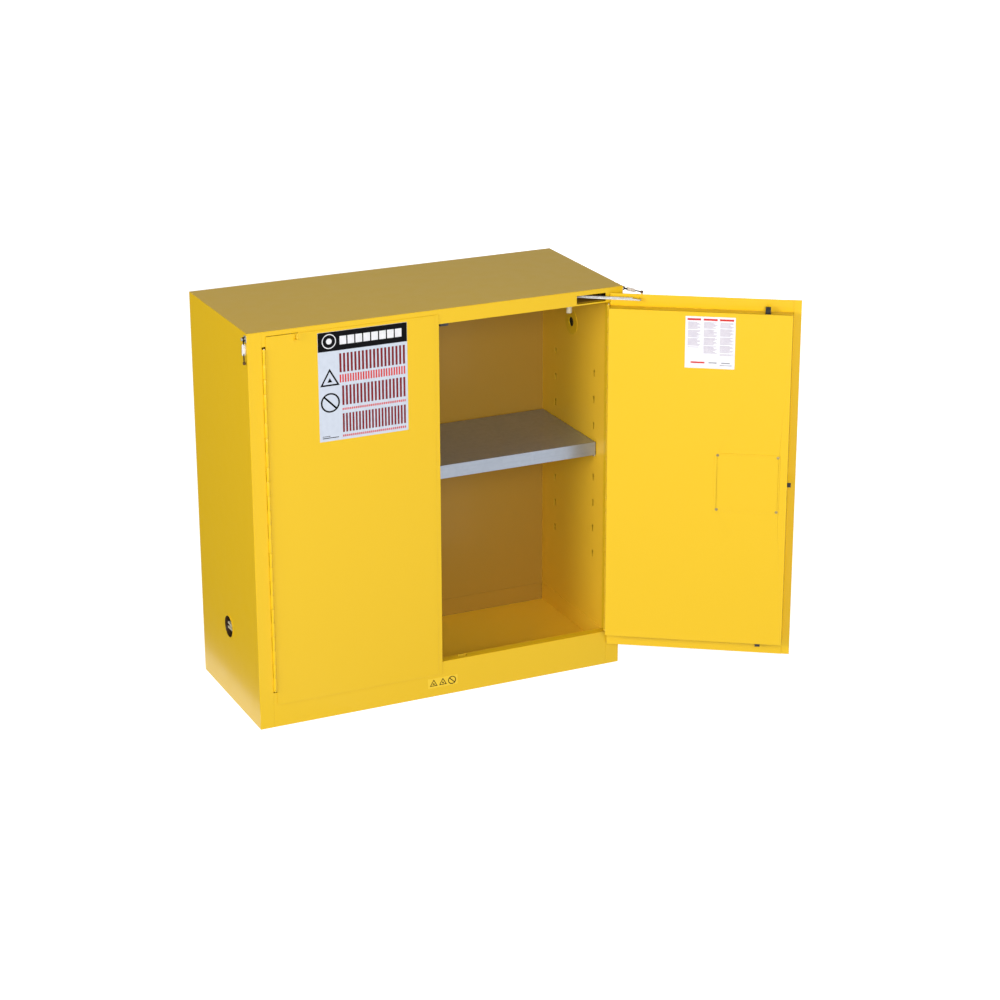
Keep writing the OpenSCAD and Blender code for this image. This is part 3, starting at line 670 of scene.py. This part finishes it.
def cross_recess_screw(radius, height):
    """A pan-head screw, w along its shank, with a cross-shaped recess cut in its head."""
    head = bmesh.new()
    steps = 7
    dome = [(radius * math.cos(math.pi / 2 * i / steps) ** 0.5 if i < steps else 0.0,
             height * (0.35 + 0.65 * math.sin(math.pi / 2 * i / steps))) for i in range(steps + 1)]
    add_lathe(head, [(0.0, 0.0), (radius * 0.96, 0.0), (radius, 0.2 * height), *dome], 40)
    cutter = bmesh.new()
    arm, half = radius * 0.55, radius * 0.13
    cross = [(half, half), (half, arm), (-half, arm), (-half, half), (-arm, half), (-arm, -half),
             (-half, -half), (-half, -arm), (half, -arm), (half, -half), (arm, -half), (arm, half)]
    add_prism(cutter, cross, height * 0.35, height * 1.3)
    return boolean_difference(head, cutter)


def boolean_difference(solid, cutter):
    """The solid with the cutter taken away, as a new bmesh."""
    objects = []
    for name, work in (("solid", solid), ("cutter", cutter)):
        bmesh.ops.recalc_face_normals(work, faces=work.faces)
        mesh = bpy.data.meshes.new(name)
        work.to_mesh(mesh)
        work.free()
        made = bpy.data.objects.new(name, mesh)
        bpy.context.scene.collection.objects.link(made)
        objects.append(made)
    cut = objects[0].modifiers.new("cut", "BOOLEAN")
    cut.operation = "DIFFERENCE"
    cut.solver = "EXACT"
    cut.object = objects[1]
    result = bmesh.new()
    result.from_object(objects[0], bpy.context.evaluated_depsgraph_get())
    for made in objects:
        bpy.data.objects.remove(made)
    return result


def joined(parts):
    """Several (bmesh, matrix) copies as one bmesh."""
    whole = bmesh.new()
    for part, matrix in parts:
        mesh = bpy.data.meshes.new("part")
        part.to_mesh(mesh)
        mesh.transform(matrix)
        whole.from_mesh(mesh)
        bpy.data.meshes.remove(mesh)
    return whole


def cover_screws():
    """Four cross-recess screws that hold the latch cover."""
    low, high = closed_box("cover_screws")
    head_r, head_h = 4.2 * MM, 1.8 * MM
    screw = cross_recess_screw(head_r, head_h)
    spots = []
    for index, (x, z) in enumerate(((low.x + head_r, low.z + head_r), (high.x - head_r, low.z + head_r),
                                    (low.x + head_r, high.z - head_r),
                                    (high.x - head_r, high.z - head_r))):
        turn = Matrix.Rotation(math.radians(17 + 31 * index), 4, "Z")
        spots.append((screw, axes_matrix(Vector((x, high.y - head_h, z)), X, Z, Y) @ turn))
    whole = joined(spots)
    screw.free()
    made = piece_from("cover_screw_heads", whole, COVER_SCREW, "right_door", SWING)
    smooth(made)
    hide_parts("cover_screws")


def add_thread(work, radius, pitch, start, end, count=20):
    """A screw thread: a ridge that climbs round the local W axis, on a round core."""
    turns = (end - start) / pitch
    steps = int(turns * count)
    rows = []
    for i in range(steps + 1):
        angle = TURN * i / count
        w = start + pitch * i / count
        row = []
        for r, dw in ((radius * 0.84, 0.0), (radius, 0.5), (radius * 0.84, 1.0)):
            row.append(work.verts.new((r * math.cos(angle), r * math.sin(angle), w + dw * pitch)))
        row.append(work.verts.new((radius * 0.5 * math.cos(angle), radius * 0.5 * math.sin(angle),
                                   w + 0.5 * pitch)))
        rows.append(row)
    for a, b in zip(rows, rows[1:]):
        for i in range(4):
            j = (i + 1) % 4
            work.faces.new((a[i], a[j], b[j], b[i]))
    work.faces.new(rows[0])
    work.faces.new(rows[-1])


def ground_stud():
    """A threaded stud with a washer and a chamfered hexagon nut on the cabinet's side."""
    low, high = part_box("ground_stud")
    middle = (low + high) / 2
    origin = Vector((low.x, middle.y, middle.z))
    place = axes_matrix(origin, Y, Z, X)
    stud_r = 3.0 * MM
    length = high.x - low.x
    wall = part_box("side_panel_right")[1].x - low.x
    work = bmesh.new()
    add_lathe(work, [(0, 0.2 * MM), (stud_r * 0.84, 0.2 * MM), (stud_r * 0.84, length - 0.6 * MM),
                     (stud_r * 0.6, length), (0, length)], 24)
    add_thread(work, stud_r, 1.0 * MM, 0.4 * MM, length - 1.6 * MM)
    stud = piece_from("ground_stud_thread", work, ZINC, "cabinet", place)
    smooth(stud, 50)
    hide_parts("ground_stud")
    for name, start in (("outer", wall), ("inner", wall - 8.3 * MM)):
        work = bmesh.new()
        washer = 1.4 * MM
        nut_from = start + washer if name == "outer" else start + 0.6 * MM
        washer_from = start if name == "outer" else nut_from + 5.1 * MM
        add_prism(work, circle(0, 0, 8 * MM), washer_from, washer_from + washer - 0.1 * MM,
                  (circle(0, 0, stud_r * 1.08),))
        add_prism(work, circle(0, 0, 5.8 * MM, 6), nut_from, nut_from + 5.0 * MM,
                  (circle(0, 0, stud_r * 1.02, 6),))
        nut = piece_from("ground_nut_" + name, work, ZINC, "cabinet", place)
        soften(nut, 0.35 * MM, 3)


def rounded_strip(start, end, half, count=10):
    """A flat bar's outline with round ends."""
    points = []
    for centre, turn in ((end, -math.pi / 2), (start, math.pi / 2)):
        for i in range(count + 1):
            angle = turn + math.pi * i / count
            points.append((centre + half * math.cos(angle), half * math.sin(angle)))
    return points


def link_rivets():
    """A domed rivet head on both faces of a link's plates, at each of its two ends."""
    work = bmesh.new()
    dome = [(0, 0), (2.2 * MM, 0), (2.0 * MM, 0.5 * MM), (1.1 * MM, 0.9 * MM), (0, 1.0 * MM)]
    flipped = Matrix.Rotation(math.pi, 4, "X")
    for u, top, bottom in ((17, 0.0, -1.4), (40, 1.3, 0.0)):
        for w, turn in ((top, Matrix.Identity(4)), (bottom, flipped)):
            rivet = bmesh.new()
            add_lathe(rivet, dome, 20)
            mesh = bpy.data.meshes.new("rivet")
            rivet.to_mesh(mesh)
            rivet.free()
            mesh.transform(Matrix.Translation((u * MM, 0, w * MM)) @ turn)
            work.from_mesh(mesh)
            bpy.data.meshes.remove(mesh)
    return work


def fusible_link(side, body, place, node, twist=0.0):
    """A hold-open link: wire eye, two plates soldered together, and a hook with a knob.

    It is made along the local U axis, with its flat sides facing W, turned by the twist.
    """
    wire = 1.4 * MM
    work = bmesh.new()
    eye_r = 5.3 * MM
    loop = [(eye_r * math.cos(a), eye_r * math.sin(a), 0)
            for a in [math.radians(22 + 316 * i / 28) for i in range(29)]]
    add_tube(work, [(17 * MM, 0.9 * MM, 0), (8 * MM, 1.2 * MM, 0), *loop,
                    (8 * MM, -1.2 * MM, 0), (17 * MM, -0.9 * MM, 0)], wire, 12)
    eye = piece_from("link_eye_" + side, work, BLACK_STEEL, body, place)
    smooth(eye, 60)
    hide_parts(node)
    place = place @ Matrix.Rotation(twist, 4, "X")
    for name, start, end, low, high in (("inner", 17, 34, -1.4, -0.1), ("outer", 23, 40, 0.0, 1.3)):
        work = bmesh.new()
        add_prism(work, rounded_strip(start * MM, end * MM, 5.2 * MM), low * MM, high * MM)
        plate = piece_from(f"link_plate_{name}_{side}", work, FUSE_ALLOY, body,
                           place)
        soften(plate, 0.3 * MM, 3)
    work = link_rivets()
    smooth(piece_from("link_rivets_" + side, work, ZINC, body, place))
    work = bmesh.new()
    add_tube(work, [(40 * MM, 0, 0.4 * MM), (48 * MM, 0, 0), (56 * MM, 0, 0), (65 * MM, 0, 0)],
             1.7 * MM, 12)
    smooth(piece_from("link_hook_" + side, work, BLACK_STEEL, body, place), 60)
    work = bmesh.new()
    knob_r, knob_h = 4.4 * MM, 3.0 * MM
    add_lathe(work, [(0, -knob_h), (knob_r * 0.7, -knob_h), (knob_r * 0.95, -0.75 * knob_h),
                     (knob_r, -0.3 * knob_h), (knob_r, 0.3 * knob_h),
                     (knob_r * 0.95, 0.75 * knob_h), (knob_r * 0.7, knob_h), (0, knob_h)], 28)
    turned = place @ Matrix.Translation((65 * MM, 0, 0)) @ Matrix.Rotation(math.pi / 2, 4, "X")
    smooth(piece_from("link_knob_" + side, work, KNOB_BROWN, body, turned), 50)


def fusible_links():
    left = JOINTS["fusible_link_left_swing"]
    place = axes_matrix(Vector(left["pos_m"]), -Z, -Y, -X)
    fusible_link("left", "fusible_link_left", place, "fusible_link_left", math.pi / 2)
    right = JOINTS["fusible_link_right_swing"]
    across = -Vector(right["axis"]).normalized()
    along = across.cross(Z)
    if along.y > 0:
        along = -along
    place = axes_matrix(Vector(right["pos_m"]), along, Z, along.cross(Z))
    fusible_link("right", "fusible_link_right", place, "fusible_link_right")


def closer_arm_ribs():
    """A pressed rib along the top of each closer arm."""
    for side in ("left", "right"):
        node = "closer_arm_" + side
        pivot = Vector(JOINTS[node + "_pivot"]["pos_m"])
        corners = [vertex.co for vertex in NODES[node].data.vertices]
        top = max(corner.z for corner in corners)
        reach = max(((corner - pivot).xy.length for corner in corners))
        far = [corner.xy for corner in corners if (corner - pivot).xy.length > 0.95 * reach]
        end = sum(far, Vector((0, 0))) / len(far)
        along = Vector((end.x - pivot.x, end.y - pivot.y, 0)).normalized()
        place = axes_matrix(Vector((pivot.x, pivot.y, top)), along, Z.cross(along), Z)
        work = bmesh.new()
        add_prism(work, rounded_strip(20 * MM, reach - 24 * MM, 4.2 * MM), -0.1 * MM, 3.4 * MM)
        rib = piece_from("closer_arm_rib_" + side, work, ZINC, node, place)
        soften(rib, 1.2 * MM, 4)


# ---------------------------------------------------------------- the scene

make_camera()
make_world()
make_floor()
make_flag()
area_light("key", (-1.2, -5.4, 2.3), (0.1, 0, 0.6), 2.6, 196)
area_light("fill", (-5.0, -1.6, 2.0), (0, 0, 0.5), 2.6, 155)
area_light("back_fill", (3.6, 4.2, 0.5), (0.2, 0, 0.6), 1.0, 50)
bpy.context.scene.view_settings.view_transform = "Standard"

dress_cad_nodes()
front_label_print()
instruction_label_print()
base_label_print()
cover_screws()
ground_stud()
fusible_links()
closer_arm_ribs()
